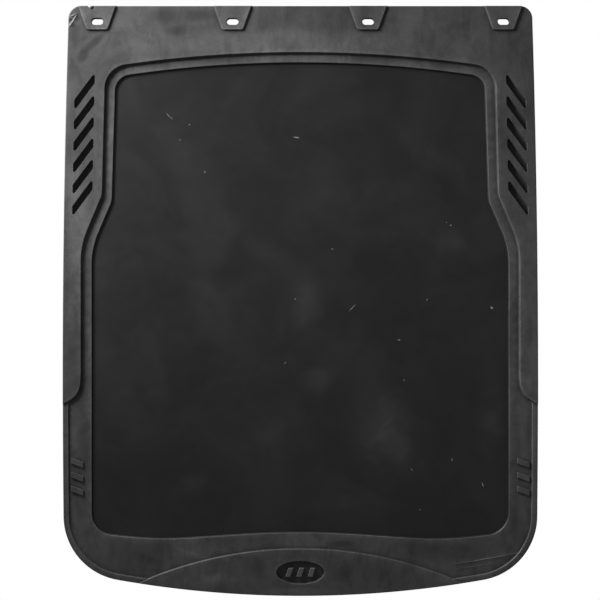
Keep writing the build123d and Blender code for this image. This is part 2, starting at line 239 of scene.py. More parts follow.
# ---------------------------------------------------------------------------------------------------------------------
# signed distances and the height of the face
# ---------------------------------------------------------------------------------------------------------------------
def inside(p, poly):
    x, z = p[:, 0][:, None], p[:, 1][:, None]
    a, b = poly, np.roll(poly, -1, 0)
    cross = ((a[:, 1] > z) != (b[:, 1] > z)) & (
        x < (b[:, 0] - a[:, 0]) * (z - a[:, 1]) / np.where(b[:, 1] == a[:, 1], 1e-12, b[:, 1] - a[:, 1]) + a[:, 0])
    return cross.sum(1) % 2 == 1


def signed(p, poly, reach=None):
    """Distance to a closed contour, positive inside it. Beyond reach it is only known to be far."""
    out = np.full(len(p), -1e3)
    if reach is None:
        near = np.arange(len(p))
    else:
        lo, hi = poly.min(0) - reach, poly.max(0) + reach
        near = np.where(((p >= lo) & (p <= hi)).all(1))[0]
    a, b = poly, np.roll(poly, -1, 0)
    ab = b - a
    l2 = (ab**2).sum(1)
    for k in range(0, len(near), 1500):
        idx = near[k:k + 1500]
        q = p[idx]
        ap = q[:, None, :] - a[None]
        t = np.clip((ap * ab).sum(2) / l2, 0, 1)
        d = ap - t[:, :, None] * ab
        dist = np.sqrt((d**2).sum(2).min(1))
        out[idx] = np.where(inside(q, poly), dist, -dist)
    return out


def ease(d, w, a=0.34):
    """0 to 1 across a wall w wide centred on d = 0, straight in its middle and rounded at its top and foot."""
    t = np.clip(0.5 + d / w, 0, 1)
    m = 1 / (1 - a)
    return np.where(t < a, m * t * t / (2 * a), np.where(t > 1 - a, 1 - m * (1 - t) ** 2 / (2 * a), m * (t - a / 2)))


def height(p):
    d_out = signed(p, OUT)
    ledge = BACKING + LEDGE * ease(-signed(p, PANEL), W_LEDGE)
    bead = ledge + BEAD * ease(BEAD_W - d_out, W_BEAD)
    d_toe = TOE_ARC_R - np.hypot(p[:, 0], p[:, 1] - (TOE_ARC_TOP_Z - TOE_ARC_R))
    toe = ledge + TOE * ease(d_toe, W_TOE)
    yoke = ledge + YOKE * ease(-signed(p, WINDOW), W_YOKE)
    low = np.where(d_toe > 0, toe, np.maximum(bead, toe))
    h = np.maximum(np.where(p[:, 1] < -505, low, ledge), yoke)
    h = BACKING + (h - BACKING) * ease(-signed(p, OVAL, 6), W_OVAL)
    for c in PADS:
        h = h + PAD * ease(signed(p, c, 4), W_PAD)
    for c in VENTS:
        h = BACKING + (h - BACKING) * ease(-signed(p, c, 4), W_VENT)
    for c in SLOTS:
        d = np.clip(-signed(p, c, 3), 0, SLOT_R)
        h = h - (SLOT_R - np.sqrt(SLOT_R**2 - (SLOT_R - d) ** 2))
    d = np.clip(d_out, 0, EDGE_R)
    h = h - (EDGE_R - np.sqrt(np.maximum(EDGE_R**2 - (EDGE_R - d) ** 2, 0)))
    c, k = math.cos(math.radians(PIT[4])), math.sin(math.radians(PIT[4]))
    dx, dz = p[:, 0] - PIT[0], p[:, 1] - PIT[1]
    h = h - 2.6 * np.sqrt(np.clip(1 - np.hypot((dx * c + dz * k) / PIT[2], (dz * c - dx * k) / PIT[3]), 0, 1))
    for a, b, w, rise in STROKES:
        a, b = np.array(a), np.array(b)
        t = np.clip(((p - a) @ (b - a)) / ((b - a) @ (b - a)), 0, 1)
        t = np.clip(1 - np.linalg.norm(p - a - t[:, None] * (b - a), axis=1) / w, 0, 1)
        h = h + rise * t * t * (3 - 2 * t)
    return h


def wall_shade_and_highlight(p):
    """1 along the foot of each wall, where painted shade darkens it, -1 along its upper edge, where a painted highlight
    lightens it, and 0 away from it.
    """
    def foot(d, w):
        low = np.clip((d + w * 0.2) / (w * 0.6), 0, 1) * np.clip(1 - (d - w * 0.7) / 1.5, 0, 1)
        high = np.clip((-d - w * 0.05) / (w * 0.35), 0, 1) * np.clip(1 - (-d - w * 0.6) / 1.2, 0, 1)
        return low - high

    def stronger(a, b):
        return np.where(np.abs(b) > np.abs(a), b, a)

    d_toe = TOE_ARC_R - np.hypot(p[:, 0], p[:, 1] - (TOE_ARC_TOP_Z - TOE_ARC_R))
    out = stronger(foot(signed(p, PANEL), W_LEDGE), foot(signed(p, WINDOW), W_YOKE))
    out = stronger(out, 0.7 * foot(signed(p, OVAL, 8), W_OVAL))
    out = stronger(out, np.where(p[:, 1] < -690, 0.8 * foot(-d_toe, W_TOE), 0))
    out = stronger(out, np.where((p[:, 1] < -522) & (d_toe < 0), 0.9 * foot(signed(p, OUT) - BEAD_W, W_BEAD), 0))
    for c in PADS:
        d = -signed(p, c, 6)
        out = stronger(out, np.where(d < 6, foot(d, W_PAD), 0))
    return out


# ---------------------------------------------------------------------------------------------------------------------
# the drawing that is triangulated: each wall is sampled by parallel lines, and the flats by a sparse grid
# ---------------------------------------------------------------------------------------------------------------------
def offset(poly, d):
    """The contour moved outwards by d."""
    n_prev = poly - np.roll(poly, 1, 0)
    n_next = np.roll(poly, -1, 0) - poly
    n1 = np.c_[n_prev[:, 1], -n_prev[:, 0]] / np.linalg.norm(n_prev, axis=1)[:, None]
    n2 = np.c_[n_next[:, 1], -n_next[:, 0]] / np.linalg.norm(n_next, axis=1)[:, None]
    n = n1 + n2
    n /= np.linalg.norm(n, axis=1)[:, None]
    k = 1 / np.maximum((n * n1).sum(1), 0.5)
    return poly + n * (d * k)[:, None]


WALL = (-0.30, 0.0, 0.17, 0.34, 0.66, 0.83, 1.0, 1.30)


class Drawing:
    def __init__(self):
        self.points, self.edges, self.count = [], [], 0

    def add(self, pts, closed=True, keep=None):
        n = len(pts)
        i = np.arange(n if closed else n - 1)
        e = np.c_[i, (i + 1) % n]
        if keep is not None:
            ok = keep[e[:, 0]] & keep[e[:, 1]]
            e = e[ok]
            used = np.unique(e)
            remap = -np.ones(n, int)
            remap[used] = np.arange(len(used))
            pts, e = pts[used], remap[e]
        self.points.append(pts)
        self.edges.append(e + self.count)
        self.count += len(pts)

    def wall(self, poly, w, where=None):
        """Lines along a wall w wide, centred on the contour."""
        for t in WALL:
            q = offset(poly, (t - 0.5) * w)
            self.add(q, True, where(q) if where else None)


def snapped(p):
    p = p.copy()
    p[np.abs(p[:, 1] - CUT_Z) < 0.08, 1] = CUT_Z
    return p


def grid(clear_of, gap, x_step, rows):
    """Points on rows, each clear of the given contours by a gap."""
    xs = np.arange(-WIDTH / 2, WIDTH / 2 + 1, x_step)
    pts = np.array([(x + (x_step / 2 if k % 2 else 0), z) for k, z in enumerate(rows) for x in xs])
    ok = signed(pts, OUT) > gap
    for c, g in clear_of:
        ok &= np.abs(signed(pts, c, g + 1)) > g
    return pts[ok]


def rows(fine):
    """Heights of the grid's rows: close together where the rubber bends."""
    out, z = [], TOP_Z - 6
    while z > TOE_Z + 3:
        out.append(z)
        if BEND_1[1] - 4 < z < BEND_1[0] + 4:
            z -= 3.0
        elif BEND_2[1] - 6 < z < BEND_2[0] + 6:
            z -= 5.0
        else:
            z -= fine
    return [v for v in out if abs(v - CUT_Z) > 3.5]


def tri_filter(verts, faces, inner, holes):
    v = np.array(verts)
    f = np.array(faces)
    c = v[f].mean(1)
    ok = inside_fast(c, inner)
    for h in holes:
        lo, hi = h.min(0), h.max(0)
        near = np.where(((c > lo) & (c < hi)).all(1))[0]
        ok[near[inside(c[near], h)]] = False
    return f[ok]


def inside_fast(c, poly):
    out = np.zeros(len(c), bool)
    for k in range(0, len(c), 4000):
        out[k:k + 4000] = inside(c[k:k + 4000], poly)
    return out


def triangulate(draw, extra):
    pts = snapped(np.concatenate(draw.points + [extra]))
    edges = np.concatenate(draw.edges)
    # the cut runs through every point that lies on it
    on = np.where(pts[:, 1] == CUT_Z)[0]
    on = on[np.argsort(pts[on, 0])]
    on = on[np.concatenate([[True], np.diff(pts[on, 0]) > 1e-4])]
    edges = np.concatenate([edges, np.c_[on[:-1], on[1:]]])
    r = delaunay_2d_cdt([Vector(p) for p in pts], [tuple(int(i) for i in e) for e in edges], [], 0, 1e-4, False)
    return np.array([tuple(v) for v in r[0]]), np.array([tuple(f) for f in r[2]])


def boundary_loops(faces):
    """Closed loops of the edges used by one triangle, each in the triangles' own direction."""
    e = np.concatenate([faces[:, [0, 1]], faces[:, [1, 2]], faces[:, [2, 0]]])
    have = set(map(tuple, e.tolist()))
    nxt = {a: b for a, b in have if (b, a) not in have}
    loops = []
    while nxt:
        a = next(iter(nxt))
        run = [a]
        b = nxt.pop(a)
        while b != a:
            run.append(b)
            b = nxt.pop(b)
        loops.append(run)
    return loops


def ccw(v, f):
    a, b, c = v[f[:, 0]], v[f[:, 1]], v[f[:, 2]]
    area = (b[:, 0] - a[:, 0]) * (c[:, 1] - a[:, 1]) - (b[:, 1] - a[:, 1]) * (c[:, 0] - a[:, 0])
    f = f[np.abs(area) > 1e-9]
    area = area[np.abs(area) > 1e-9]
    f[area < 0] = f[area < 0][:, ::-1]
    return f


# ---- front
draw = Drawing()
draw.add(OUT)
for a in (22.5, 45.0, 67.5, 90.0):
    draw.add(offset(OUT, -EDGE_R * (1 - math.cos(math.radians(a)))))
draw.add(offset(OUT, -EDGE_R - 0.45))
draw.wall(PANEL, W_LEDGE)
draw.wall(WINDOW, W_YOKE, lambda q: (q[:, 1] > -530) & (np.abs(q[:, 0]) < WIDTH / 2 + 3))
bead_line = offset(OUT, -BEAD_W)


def on_bead(q):
    return (q[:, 1] < -519) & (TOE_ARC_R - np.hypot(q[:, 0], q[:, 1] - (TOE_ARC_TOP_Z - TOE_ARC_R)) < 1.5)


draw.wall(bead_line, W_BEAD, on_bead)
for k in WALL:
    r, lo, hi = TOE_ARC_R + (k - 0.5) * W_TOE, 64.0, 80.0
    for _ in range(30):
        mid = math.radians((lo + hi) / 2)
        if signed(np.array([[r * math.cos(mid), TOE_ARC_TOP_Z - TOE_ARC_R + r * math.sin(mid)]]), OUT)[0] > 0.25:
            hi = (lo + hi) / 2
        else:
            lo = (lo + hi) / 2
    draw.add(arc((0, TOE_ARC_TOP_Z - TOE_ARC_R), r, hi, 180 - hi, STEP), False)
draw.wall(OVAL, W_OVAL)
for c in PADS:
    draw.wall(c, W_PAD, lambda q: q[:, 1] < TOP_Z + 3)
for c in VENTS:
    draw.wall(c, W_VENT)
for c in SLOTS:
    draw.add(c)
    for a in (45.0, 90.0):
        draw.add(offset(c, SLOT_R * (1 - math.cos(math.radians(a)))))
    draw.add(offset(c, SLOT_R + 0.4))
for r in (0.35, 0.7, 1.0, 1.25):
    t = np.linspace(0, 2 * math.pi, 25)[:-1]
    c, k = math.cos(math.radians(PIT[4])), math.sin(math.radians(PIT[4]))
    u, v = PIT[2] * r * np.cos(t), PIT[3] * r * np.sin(t)
    q = np.c_[PIT[0] + u * c - v * k, PIT[1] + u * k + v * c]
    draw.add(q, True, q[:, 1] < TOP_Z - 0.8)
for a, b, w, rise in STROKES:
    a, b = np.array(a), np.array(b)
    side = np.array([a[1] - b[1], b[0] - a[0]]) / np.linalg.norm(b - a)
    along = (b - a) / np.linalg.norm(b - a)
    for k in (-1.0, -0.6, -0.25, 0.25, 0.6, 1.0):
        q = line(a - along * w * 0.5 + side * w * k, b + along * w * 0.5 + side * w * k, 2.0)
        draw.add(q, False, signed(q, OUT) > 2.0)

gap = 2.6
clear = [(PANEL, gap), (WINDOW, gap), (OVAL, 1.8)] + [(c, 2.2) for c in PADS + SLOTS] + [(c, 1.6) for c in VENTS]
pts = grid(clear, 3.0, 8.0, rows(8.0))
d_rim = np.abs(signed(pts, OUT) - BEAD_W)
d_arc = np.abs(TOE_ARC_R - np.hypot(pts[:, 0], pts[:, 1] - (TOE_ARC_TOP_Z - TOE_ARC_R)))
pts = pts[~((pts[:, 1] < -519) & (d_rim < 2.2)) & (d_arc > 2.4)]
cut_x = np.arange(-276, 277, 8.0)
pts = np.concatenate([pts, np.c_[cut_x, np.full(len(cut_x), CUT_Z)],
                      [(s * x, CUT_Z) for s in (-1, 1) for x in (292.2, 306.5, 312.0, 317.5)]])
FV, FF = triangulate(draw, pts)
FF = ccw(FV, tri_filter(FV, FF, OUT, SLOTS))
FY = -height(FV)
# painted shade at the foot of each wall and a painted highlight along its upper edge, kept for each point
WALL_SHADE_AND_HIGHLIGHT = wall_shade_and_highlight(FV)
front_loops = sorted(boundary_loops(FF), key=len, reverse=True)

# ---- back: its edge carries the same points as the front's
back_draw = Drawing()
rims = []
for k, run in enumerate(front_loops):
    r = BACK_R if k == 0 else SLOT_R
    p = FV[run]
    rims.append(p)
    back_draw.add(p)
    q = loop(OUT if k == 0 else min(SLOTS, key=lambda c: np.linalg.norm(c.mean(0) - p.mean(0))))
    sign = -1 if k == 0 else 1
    for a in (30.0, 60.0, 90.0):
        back_draw.add(offset(q, sign * r * (1 - math.cos(math.radians(a)))))
    back_draw.add(offset(q, sign * (r + 0.6)))
pts = grid([(c, 2.5) for c in SLOTS], 3.0, 16.0, rows(16.0))
pts = np.concatenate([pts, np.c_[np.arange(-312, 313, 16.0), np.full(40, CUT_Z)]])
BV, BF = triangulate(back_draw, pts)
BF = ccw(BV, tri_filter(BV, BF, OUT, SLOTS))


def back_y(p):
    y = np.zeros(len(p))
    for c, r in [(OUT, BACK_R)] + [(c, SLOT_R) for c in SLOTS]:
        d = signed(p, c) if c is OUT else -signed(p, c, 3)
        d = np.clip(d, 0, r)
        y = y - (r - np.sqrt(np.maximum(r**2 - (r - d) ** 2, 0)))
    return y


BY = back_y(BV)

# ---- the edge walls between them
V = [np.c_[FV[:, 0], FY, FV[:, 1]], np.c_[BV[:, 0], BY, BV[:, 1]]]
n_front, n_back = len(FV), len(BV)
faces = [tuple(f) for f in FF] + [tuple(f[::-1] + n_front) for f in BF]
wall_runs = []
total = n_front + n_back
for run in front_loops:
    rim = FV[run]
    mate = np.array([np.argmin(((BV - p) ** 2).sum(1)) for p in rim])
    if np.abs(BV[mate] - rim).max() > 1e-3 or len(set(mate)) != len(mate):
        raise SystemExit("the front and the back don't share an edge")
    columns = [np.array(run)]
    outer = run is front_loops[0]
    for t in ((0.25, 0.5, 0.75) if outer else (0.5,)):
        y = FY[run] * (1 - t) + BY[mate] * t
        V.append(np.c_[rim[:, 0], y, rim[:, 1]])
        columns.append(np.arange(total, total + len(run)))
        total += len(run)
    columns.append(mate + n_front)
    for a, b in zip(columns[:-1], columns[1:]):
        a2, b2 = np.roll(a, -1), np.roll(b, -1)
        faces += [(int(p), int(q), int(r), int(s)) for p, q, r, s in zip(a2, a, b, b2)]
    if outer:
        wall_runs = columns
V = np.concatenate(V)
WALL_SHADE_AND_HIGHLIGHT = np.concatenate([WALL_SHADE_AND_HIGHLIGHT, np.zeros(len(V) - len(WALL_SHADE_AND_HIGHLIGHT))])


def skin(name, side):
    """One closed part of the skin: side is 1 above the cut, -1 below it."""
    keep = [f for f in faces if side * (V[list(f), 2].mean() - CUT_Z) > 0]
    on_cut = np.abs(V[:, 2] - CUT_Z) < 1e-6
    used = np.zeros(len(V), bool)
    used[[i for f in keep for i in f]] = True
    front = [i for i in np.where(on_cut & used)[0] if i < n_front]
    back = [i for i in np.where(on_cut & used)[0] if n_front <= i < n_front + n_back]
    front.sort(key=lambda i: V[i, 0])
    back.sort(key=lambda i: -V[i, 0])
    ends = [[int(c[k]) for c in wall_runs[1:-1]] for k in range(len(wall_runs[0])) if on_cut[wall_runs[0][k]]]
    right = next(e for e in ends if V[e[0], 0] > 0)
    left = next(e for e in ends if V[e[0], 0] < 0)
    cap = front + right + back + left[::-1]
    if side > 0:
        cap = cap[::-1]
    keep.append(tuple(cap))
    index = -np.ones(len(V), int)
    ids = np.unique([i for f in keep for i in f])
    index[ids] = np.arange(len(ids))
    mesh = bpy.data.meshes.new(name)
    mesh.from_pydata((V[ids] / 1000).tolist(), [], [[int(index[i]) for i in f] for f in keep])
    mesh.validate()
    mesh.polygons.foreach_set("use_smooth", np.ones(len(mesh.polygons), bool))
    uv = mesh.uv_layers.new(name="Rest")
    loop_v = np.zeros(len(mesh.loops), int)
    mesh.loops.foreach_get("vertex_index", loop_v)
    flat = V[ids][:, [0, 2]] / 1000
    uv.data.foreach_set("uv", flat[loop_v].astype(np.float32).ravel())
    # the painted wall shade and edge highlight go with the mesh as a point attribute
    mesh.attributes.new("WallShadeAndHighlight", "FLOAT", "POINT").data.foreach_set("value", WALL_SHADE_AND_HIGHLIGHT[ids].astype(np.float32))
    mesh.set_sharp_from_angle(angle=math.radians(52))
    obj = bpy.data.objects.new(name, mesh)
    bpy.context.scene.collection.objects.link(obj)
    return obj


upper = skin("flap_skin_upper", 1)
lower = skin("flap_skin_lower", -1)
print("skins", len(upper.data.polygons), len(lower.data.polygons))


# =====================================================================================================================
# Materials. Patterns are laid out on the flap's own rest coordinates, so they stay in place when it bends.
# =====================================================================================================================
class Tree:
    """A little shorthand for a material's nodes."""

    def __init__(self, name, rest=True):
        self.mat = bpy.data.materials.new(name)
        self.mat.use_nodes = True
        self.nt = self.mat.node_tree
        self.nt.nodes.clear()
        self.out = self.node("ShaderNodeOutputMaterial")
        self.bsdf = self.node("ShaderNodeBsdfPrincipled")
        self.nt.links.new(self.bsdf.outputs[0], self.out.inputs["Surface"])
        if rest:
            uv = self.node("ShaderNodeUVMap")
            uv.uv_map = "Rest"
            self.place = uv.outputs[0]
        else:
            both = self.node("ShaderNodeSeparateXYZ")
            self.link(self.node("ShaderNodeTexCoord").outputs["Object"], both.inputs[0])
            flat = self.node("ShaderNodeCombineXYZ")
            self.link(both.outputs["X"], flat.inputs["X"])
            self.link(both.outputs["Z"], flat.inputs["Y"])
            self.place = flat.outputs[0]

    def node(self, kind, **values):
        n = self.nt.nodes.new(kind)
        for k, v in values.items():
            setattr(n, k, v)
        return n

    def link(self, a, b):
        self.nt.links.new(a, b)

    def put(self, value, socket):
        if hasattr(value, "is_output"):
            self.link(value, socket)
        elif value is not None:
            socket.default_value = value

    def math(self, op, a, b=None, c=None, clamp=False):
        n = self.node("ShaderNodeMath", operation=op, use_clamp=clamp)
        for v, s in zip((a, b, c), n.inputs):
            self.put(v, s)
        return n.outputs[0]

    def mapped(self, move=(0, 0, 0), turn=0.0, scale=(1, 1, 1), place=None):
        n = self.node("ShaderNodeMapping")
        self.link(place or self.place, n.inputs["Vector"])
        n.inputs["Location"].default_value = move
        n.inputs["Rotation"].default_value = (0, 0, math.radians(turn))
        n.inputs["Scale"].default_value = scale
        return n.outputs[0]

    def noise(self, scale, detail=3.0, rough=0.55, distortion=0.0, place=None):
        n = self.node("ShaderNodeTexNoise")
        self.link(place or self.place, n.inputs["Vector"])
        n.inputs["Scale"].default_value = scale
        n.inputs["Detail"].default_value = detail
        n.inputs["Roughness"].default_value = rough
        n.inputs["Distortion"].default_value = distortion
        return n.outputs["Fac"]

    def span(self, value, a, b, c=0.0, d=1.0, smooth=True):
        n = self.node("ShaderNodeMapRange", interpolation_type="SMOOTHSTEP" if smooth else "LINEAR")
        for v, s in zip((value, a, b, c, d), ("Value", "From Min", "From Max", "To Min", "To Max")):
            self.put(v, n.inputs[s])
        return n.outputs["Result"]

    def near(self, x, z, rx, rz, turn=0.0, soft=1.0):
        """1 at a spot of the flap (millimetres), falling to 0 at its rim."""
        m = self.node("ShaderNodeMapping", vector_type="TEXTURE")
        self.link(self.place, m.inputs["Vector"])
        m.inputs["Location"].default_value = (x / 1000, z / 1000, 0)
        m.inputs["Rotation"].default_value = (0, 0, math.radians(turn))
        m.inputs["Scale"].default_value = (rx / 1000, rz / 1000, 1)
        n = self.node("ShaderNodeVectorMath", operation="LENGTH")
        self.link(m.outputs[0], n.inputs[0])
        return self.span(n.outputs["Value"], 1.0, 1.0 - soft, 0.0, 1.0)

    def mix(self, f, a, b):
        n = self.node("ShaderNodeMix", data_type="RGBA")
        self.put(f, n.inputs[0])
        for v, s in ((a, n.inputs[6]), (b, n.inputs[7])):
            self.put((v, v, v, 1.0) if isinstance(v, float) else v, s)
        return n.outputs[2]

    def grey(self, value):
        n = self.node("ShaderNodeCombineColor")
        for k in range(3):
            self.put(value, n.inputs[k])
        return n.outputs[0]

    def bump(self, height, distance, strength=1.0, below=None):
        n = self.node("ShaderNodeBump")
        self.put(height, n.inputs["Height"])
        n.inputs["Distance"].default_value = distance
        n.inputs["Strength"].default_value = strength
        if below is not None:
            self.link(below, n.inputs["Normal"])
        return n.outputs[0]


def specks(t, scale, size, share, move):
    """Scattered dots: 1 in a dot, 0 elsewhere."""
    v = t.node("ShaderNodeTexVoronoi")
    t.link(t.mapped(move=move), v.inputs["Vector"])
    v.inputs["Scale"].default_value = scale
    chosen = t.math("GREATER_THAN", t.node_red(v.outputs["Color"]), 1 - share)
    return t.math("MULTIPLY", t.span(v.outputs["Distance"], size, size * 0.35, 0.0, 1.0), chosen)


def node_red(self, colour):
    n = self.node("ShaderNodeSeparateColor")
    self.link(colour, n.inputs[0])
    return n.outputs[0]


Tree.node_red = node_red


def scratches(t, turn, across, along, cut, move):
    """Thin straight lines: stretched noise, cut close to its top."""
    n = t.noise(1.0, 2.0, 0.6, 0.0, t.mapped(move=move, turn=turn, scale=(along, across, 1)))
    return t.span(n, cut, cut + 0.05, 0.0, 1.0)


def paint_wall_shade_and_highlight(t, tone, low, high):
    """Painted shade along the foot of each wall, and a painted highlight along its upper edge."""
    n = t.node("ShaderNodeAttribute", attribute_type="GEOMETRY", attribute_name="WallShadeAndHighlight").outputs["Fac"]
    tone = t.math("MULTIPLY", tone, t.span(n, 0.0, 1.0, 1.0, 1.0 - low, False))
    return t.math("MULTIPLY", tone, t.span(n, 0.0, -1.0, 1.0, 1.0 + high, False))


def patches(t, tone, items):
    """Smudges, wiped areas and painted light and shade at given places: middle, half-axes, slant, softness, gain."""
    for x, z, rx, rz, turn, soft, gain in items:
        tone = t.math("MULTIPLY", tone, t.math("MULTIPLY_ADD", t.near(x, z, rx, rz, turn, soft), gain, 1.0))
    return tone


def rubber(name, rest=True, lift=1.0):
    """The matt moulded rubber of the border: grey with bloom and handling, finely grained."""
    t = Tree(name, rest)
    bloom = t.span(t.noise(11.0, 5.0, 0.62, 0.7), 0.34, 0.68)
    wiped = t.span(t.noise(1.0, 5.0, 0.62, 0.9, t.mapped(move=(3.1, 1.7, 0), turn=-38, scale=(46, 17, 1))), 0.42, 0.68)
    spots = t.span(t.noise(95.0, 4.0, 0.6, 0.4), 0.35, 0.70)
    grain = t.noise(430.0, 3.0, 0.6)
    pebble = t.noise(1500.0, 2.0, 0.5)
    tone = t.math("MULTIPLY_ADD", bloom, 0.014, 0.0355)
    tone = t.math("MULTIPLY", tone, t.math("MULTIPLY_ADD", wiped, -0.34, 1.11))
    tone = t.math("MULTIPLY", tone, t.math("MULTIPLY_ADD", spots, -0.16, 1.08))
    tone = t.math("MULTIPLY", tone, t.span(grain, 0.3, 0.7, 0.90, 1.10, False))
    light = None
    if rest:
        tone = patches(t, tone, [
            # broad lighter and darker areas, partly painted light and shade that even out how the lamps fall across the
            # flap
            (-306, -272, 20, 120, 0, 0.7, 0.50), (-306, -478, 22, 90, 0, 1.0, -0.16), (-40, -30, 210, 27, 0, 0.6, 0.46),
            (-120, -34, 120, 18, 0, 0.8, 0.12), (286, -38, 55, 50, 0, 0.8, -0.24), (312, -436, 22, 120, 0, 0.6, 0.36),
            (-294, -571, 12, 42, 0, 0.6, -0.25), (292, -610, 13, 98, 0, 0.4, -0.26), (180, -724, 96, 20, -3, 0.6, -0.20),
            (0, -711, 60, 13, 0, 0.8, 0.45), (0, -779, 60, 8, 0, 0.8, 0.45), (-120, -722, 90, 16, 4, 0.8, 0.16),
            # on the next line, the patch at (0, -752.9) darkens the oval recess as painted shade
            (-125, -764, 62, 12, 3, 0.8, 0.20), (0, -752.9, 34, 16.4, 0, 0.12, -0.26), (-268, -58, 44, 20, 15, 1.0, -0.20),
            (-262, -175, 9, 80, 0, 0.8, 0.30), (-308, -385, 14, 50, 0, 1.0, 0.24), (-190, -28, 60, 22, 0, 1.0, 0.14),
            # darker rings round the six side-mark bars: painted shadow at their feet
            (-305, -603.3, 12, 8.5, 0, 0.5, -0.40), (-305, -622.3, 12, 8.5, 0, 0.5, -0.40), (-305, -641.3, 12, 8.5, 0, 0.5, -0.40),
            (305, -603.3, 12, 8.5, 0, 0.5, -0.40), (305, -622.3, 12, 8.5, 0, 0.5, -0.40), (305, -641.3, 12, 8.5, 0, 0.5, -0.40),
            # smudges
            (-282.5, -29.0, 27, 7.0, 41, 0.7, -0.58), (-298, -47, 15, 10, 62, 0.7, -0.60), (-184, 8, 26, 17, 0, 0.8, -0.58),
            (-137, 9, 34, 12, 0, 0.9, -0.50), (-172, -12, 22, 10, 0, 0.9, -0.42), (-309, -22, 11, 26, 0, 0.9, -0.44),
            (-313, -62, 8, 28, 0, 0.9, -0.38), (-304, -70, 6, 24, 20, 0.9, -0.30), (-296, -22, 12, 6, 35, 0.9, -0.24), (-205, 6, 10, 14, 20, 0.9, -0.24), (-309, 9, 8, 8, 0, 0.7, -0.52),
            (-314.6, 2.2, 3.6, 2.4, 20, 0.5, -0.85), (-240, -4, 26, 10, -8, 1.0, 0.10), (-251, -40, 30, 9, 22, 1.0, 0.22),
            (-286, -14, 22, 5, 30, 1.0, 0.18), (-209, -26, 22, 6, -12, 1.0, -0.16), (-150, -22, 22, 4, 8, 1.0, -0.16),
            (-311, -118, 6, 30, 0, 1.0, -0.24), (-316, -170, 5, 30, 0, 1.0, -0.20), (58, -714, 28, 7, 0, 0.8, -0.46),
            (62, -752, 15, 21, -20, 0.9, -0.44), (-56, -750, 15, 26, 15, 0.9, -0.42), (-262, -668, 34, 12, 40, 0.9, -0.22), (-236, -704, 44, 12, -10, 0.9, 0.20), (-165, -715, 26, 9, -6, 1.0, 0.24),
            (-212, -733, 26, 10, -22, 1.0, -0.32), (-118, -760, 24, 10, 10, 1.0, 0.30), (-150, -727, 30, 5, -20, 0.9, 0.26), (-92, -722, 18, 7, -35, 0.9, -0.22), (180, -722, 26, 9, 5, 1.0, -0.16),
            (292, -690, 9, 26, 0, 1.0, -0.20), (-292, -600, 9, 26, 0, 1.0, -0.18), (120, 2, 36, 10, 0, 1.0, -0.18),
            (213, -6, 30, 9, 12, 1.0, -0.18), (262, -30, 24, 14, -30, 1.0, 0.10)])
        # painted shade along the wall feet and a painted highlight along their upper edges
        tone = paint_wall_shade_and_highlight(t, tone, 0.5, 0.58)
        frayed = t.span(t.noise(260.0, 4.0, 0.7), 0.50, 0.62)
        light = t.math("MULTIPLY", t.near(-310.2, 1.6, 1.5, 9.4, -32, 0.6), 0.95)
        light = t.math("MAXIMUM", light, t.math("MULTIPLY", t.near(-310.8, 8.3, 5.4, 1.1, 25, 0.6), 0.9))
        light = t.math("MAXIMUM", light, t.math("MULTIPLY", t.near(-316.0, -4.0, 2.4, 4.2, -30, 0.6), 0.8))
        light = t.math("MULTIPLY", light, t.math("MULTIPLY_ADD", frayed, 0.75, 0.25))
        crease = t.math("MULTIPLY", t.near(257.2, -733.9, 47, 0.75, 9.8, 0.8), 0.62)
        light = t.math("MAXIMUM", light, t.math("MAXIMUM", crease, t.math("MULTIPLY", t.near(239, -744.7, 24, 0.7, 8, 0.8), 0.2)))
    dust = t.math("MULTIPLY", specks(t, 75.0, 0.05, 0.08, (0.4, 0.2, 0)), 0.22)
    light = dust if light is None else t.math("MAXIMUM", light, dust)
    if lift != 1.0:
        tone = t.math("MULTIPLY", tone, lift)
    t.link(t.mix(light, t.grey(tone), 0.22), t.bsdf.inputs["Base Color"])
    rough = t.math("MULTIPLY_ADD", bloom, 0.10, 0.48)
    t.link(t.math("MULTIPLY_ADD", grain, 0.06, rough), t.bsdf.inputs["Roughness"])
    t.bsdf.inputs["Specular IOR Level"].default_value = 0.42
    n = t.bump(t.noise(38.0, 3.0, 0.5), 0.00045, 0.6)
    n = t.bump(grain, 0.00009, 0.7, n)
    n = t.bump(pebble, 0.00004, 0.8, n)
    t.link(n, t.bsdf.inputs["Normal"])
    return t.mat


# hazy smears on the panel: middle, half-axes, slant, strength
SMEARS = [(112, -558, 44, 64, 8, 0.022), (140, -592, 18, 26, 0, 0.012), (262, -545, 26, 84, 0, 0.013), (8, -385, 24, 56, 0, 0.012),
          (22, -487, 32, 22, 10, 0.014), (205, -302, 26, 20, 0, 0.011), (-145, -628, 26, 15, 30, 0.009), (250, -640, 20, 26, 20, 0.008),
          (-60, -300, 90, 22, -35, 0.006), (80, -235, 100, 20, 12, 0.006), (-120, -400, 26, 76, 14, 0.008), (175, -180, 60, 22, -28, 0.005),
          (-40, -565, 60, 26, 20, 0.008), (60, -655, 50, 14, 8, 0.008)]

